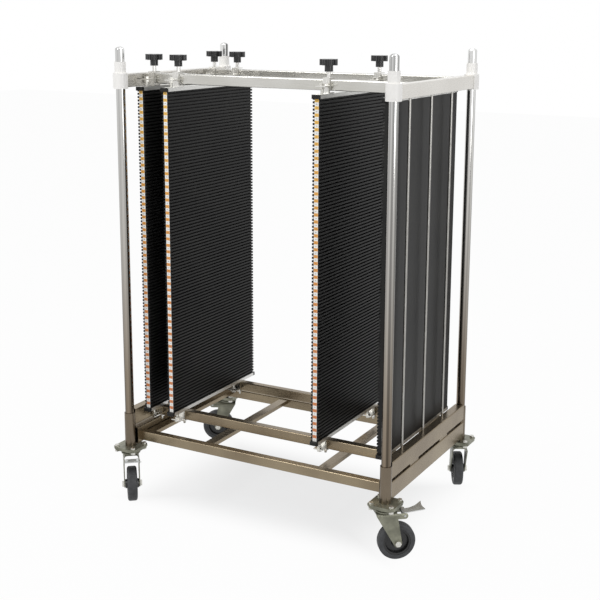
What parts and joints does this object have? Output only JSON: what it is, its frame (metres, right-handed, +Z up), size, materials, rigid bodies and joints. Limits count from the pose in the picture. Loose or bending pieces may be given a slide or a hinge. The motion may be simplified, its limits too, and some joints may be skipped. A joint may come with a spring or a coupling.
{
  "type": "pcb magazine rack",
  "caption": "Wheeled steel-tube rack whose upright comb boards hold circuit boards in slots; three comb boards slide on rails and lock with star knobs.",
  "frame": {"origin": "on the floor under the middle of the frame", "axes": "+X along the rails towards the fixed board, +Y from the front (scale strips) to the back, +Z up"},
  "size_m": [1.1034, 0.7778, 1.418],
  "materials": {
    "stainless_tube": "polished stainless square tube",
    "polished_steel": "mirror polished stainless",
    "stainless_sheet": "polished stainless sheet",
    "zinc_steel": "zinc plated, slightly yellow",
    "pedal_steel": "plain pressed steel",
    "dark_steel": "black bow",
    "white_plastic": "smooth white moulding",
    "black_comb_plastic": "black conductive plastic",
    "anodised_aluminium": "satin anodised",
    "black_knob_plastic": "black moulding on a steel screw",
    "tyre_rubber": "dark grey conductive rubber",
    "black_hub_plastic": "black wheel core"
  },
  "bodies": {
    "frame": {"lower_base_frame": "stainless_tube", "upper_base_frame": "stainless_tube", "base_spacers": "stainless_tube", "leg_sleeves": "stainless_tube", "mounting_plates": "zinc_steel", "posts": "polished_steel", "post_caps": "polished_steel", "corner_fittings": "white_plastic", "top_end_beams": "stainless_tube", "top_rails": "stainless_tube", "guard_rods": "polished_steel", "fixed_board": "black_comb_plastic", "fixed_board_channels": "anodised_aluminium", "fixed_board_packers": "anodised_aluminium", "plate_fasteners": "zinc_steel", "caster_top_plates": "zinc_steel"},
    "carriage_1": {"board_1": "black_comb_plastic", "board_1_channels": "anodised_aluminium", "board_1_clamps": "stainless_sheet", "board_1_guides": "stainless_sheet", "board_1_bolts": "zinc_steel", "board_1_handle": "dark_steel"},
    "clamp_screw_1_front": {"knob_1_front": "black_knob_plastic"},
    "clamp_screw_1_back": {"knob_1_back": "black_knob_plastic"},
    "carriage_2": {"board_2": "black_comb_plastic", "board_2_channels": "anodised_aluminium", "board_2_clamps": "stainless_sheet", "board_2_guides": "stainless_sheet", "board_2_bolts": "zinc_steel", "board_2_handle": "dark_steel"},
    "clamp_screw_2_front": {"knob_2_front": "black_knob_plastic"},
    "clamp_screw_2_back": {"knob_2_back": "black_knob_plastic"},
    "carriage_3": {"board_3": "black_comb_plastic", "board_3_channels": "anodised_aluminium", "board_3_clamps": "stainless_sheet", "board_3_guides": "stainless_sheet", "board_3_bolts": "zinc_steel", "board_3_handle": "dark_steel"},
    "clamp_screw_3_front": {"knob_3_front": "black_knob_plastic"},
    "clamp_screw_3_back": {"knob_3_back": "black_knob_plastic"},
    "swivel_1": {"caster_1_fork": "zinc_steel", "caster_1_axle": "zinc_steel"},
    "wheel_1": {"caster_1_tyre": "tyre_rubber", "caster_1_core": "black_hub_plastic"},
    "brake_1": {"caster_1_pedal": "pedal_steel"},
    "swivel_2": {"caster_2_fork": "zinc_steel", "caster_2_axle": "zinc_steel"},
    "wheel_2": {"caster_2_tyre": "tyre_rubber", "caster_2_core": "black_hub_plastic"},
    "brake_2": {"caster_2_pedal": "pedal_steel"},
    "swivel_3": {"caster_3_fork": "zinc_steel", "caster_3_axle": "zinc_steel"},
    "wheel_3": {"caster_3_tyre": "tyre_rubber", "caster_3_core": "black_hub_plastic"},
    "brake_3": {"caster_3_pedal": "pedal_steel"},
    "swivel_4": {"caster_4_fork": "zinc_steel", "caster_4_axle": "zinc_steel"},
    "wheel_4": {"caster_4_tyre": "tyre_rubber", "caster_4_core": "black_hub_plastic"},
    "brake_4": {"caster_4_pedal": "pedal_steel"}
  },
  "joints": [
    {"name": "board_1_slide", "type": "slide", "parent": "frame", "child": "carriage_1", "axis": [1, 0, 0], "range_m": [-0.006, 0.012]},
    {"name": "knob_1_front_turn", "type": "hinge", "parent": "carriage_1", "child": "clamp_screw_1_front", "pos_m": [-0.408, -0.166, 1.36], "axis": [0, 0, 1], "range_deg": [-180, 180]},
    {"name": "knob_1_back_turn", "type": "hinge", "parent": "carriage_1", "child": "clamp_screw_1_back", "pos_m": [-0.408, 0.166, 1.36], "axis": [0, 0, 1], "range_deg": [-180, 180]},
    {"name": "board_2_slide", "type": "slide", "parent": "frame", "child": "carriage_2", "axis": [1, 0, 0], "range_m": [-0.02, 0.22]},
    {"name": "knob_2_front_turn", "type": "hinge", "parent": "carriage_2", "child": "clamp_screw_2_front", "pos_m": [-0.319, -0.166, 1.36], "axis": [0, 0, 1], "range_deg": [-180, 180]},
    {"name": "knob_2_back_turn", "type": "hinge", "parent": "carriage_2", "child": "clamp_screw_2_back", "pos_m": [-0.319, 0.166, 1.36], "axis": [0, 0, 1], "range_deg": [-180, 180]},
    {"name": "board_3_slide", "type": "slide", "parent": "frame", "child": "carriage_3", "axis": [1, 0, 0], "range_m": [-0.23, 0.14]},
    {"name": "knob_3_front_turn", "type": "hinge", "parent": "carriage_3", "child": "clamp_screw_3_front", "pos_m": [0.192, -0.166, 1.36], "axis": [0, 0, 1], "range_deg": [-180, 180]},
    {"name": "knob_3_back_turn", "type": "hinge", "parent": "carriage_3", "child": "clamp_screw_3_back", "pos_m": [0.192, 0.166, 1.36], "axis": [0, 0, 1], "range_deg": [-180, 180]},
    {"name": "caster_1_swivel", "type": "hinge", "parent": "frame", "child": "swivel_1", "pos_m": [-0.446, -0.284, 0.15], "axis": [0, 0, 1], "continuous": true},
    {"name": "caster_1_roll", "type": "hinge", "parent": "swivel_1", "child": "wheel_1", "pos_m": [-0.42479, -0.30928, 0.0545], "axis": [0.766, 0.6428, 0], "continuous": true},
    {"name": "caster_1_brake", "type": "hinge", "parent": "swivel_1", "child": "brake_1", "pos_m": [-0.41258, -0.32383, 0.137], "axis": [0.766, 0.6428, 0], "range_deg": [0, 10]},
    {"name": "caster_2_swivel", "type": "hinge", "parent": "frame", "child": "swivel_2", "pos_m": [0.446, -0.284, 0.15], "axis": [0, 0, 1], "continuous": true},
    {"name": "caster_2_roll", "type": "hinge", "parent": "swivel_2", "child": "wheel_2", "pos_m": [0.472, -0.26368, 0.0545], "axis": [-0.6157, 0.788, 0], "continuous": true},
    {"name": "caster_2_brake", "type": "hinge", "parent": "swivel_2", "child": "brake_2", "pos_m": [0.48698, -0.25199, 0.137], "axis": [-0.6157, 0.788, 0], "range_deg": [0, 10]},
    {"name": "caster_3_swivel", "type": "hinge", "parent": "frame", "child": "swivel_3", "pos_m": [0.446, 0.284, 0.15], "axis": [0, 0, 1], "continuous": true},
    {"name": "caster_3_roll", "type": "hinge", "parent": "swivel_3", "child": "wheel_3", "pos_m": [0.43051, 0.31314, 0.0545], "axis": [-0.8829, -0.4695, 0], "continuous": true},
    {"name": "caster_3_brake", "type": "hinge", "parent": "swivel_3", "child": "brake_3", "pos_m": [0.42159, 0.32991, 0.137], "axis": [-0.8829, -0.4695, 0], "range_deg": [0, 10]},
    {"name": "caster_4_swivel", "type": "hinge", "parent": "frame", "child": "swivel_4", "pos_m": [-0.446, 0.284, 0.15], "axis": [0, 0, 1], "continuous": true},
    {"name": "caster_4_roll", "type": "hinge", "parent": "swivel_4", "child": "wheel_4", "pos_m": [-0.47514, 0.26851, 0.0545], "axis": [0.4695, -0.8829, 0], "continuous": true},
    {"name": "caster_4_brake", "type": "hinge", "parent": "swivel_4", "child": "brake_4", "pos_m": [-0.49191, 0.25959, 0.137], "axis": [0.4695, -0.8829, 0], "range_deg": [0, 10]}
  ]
}
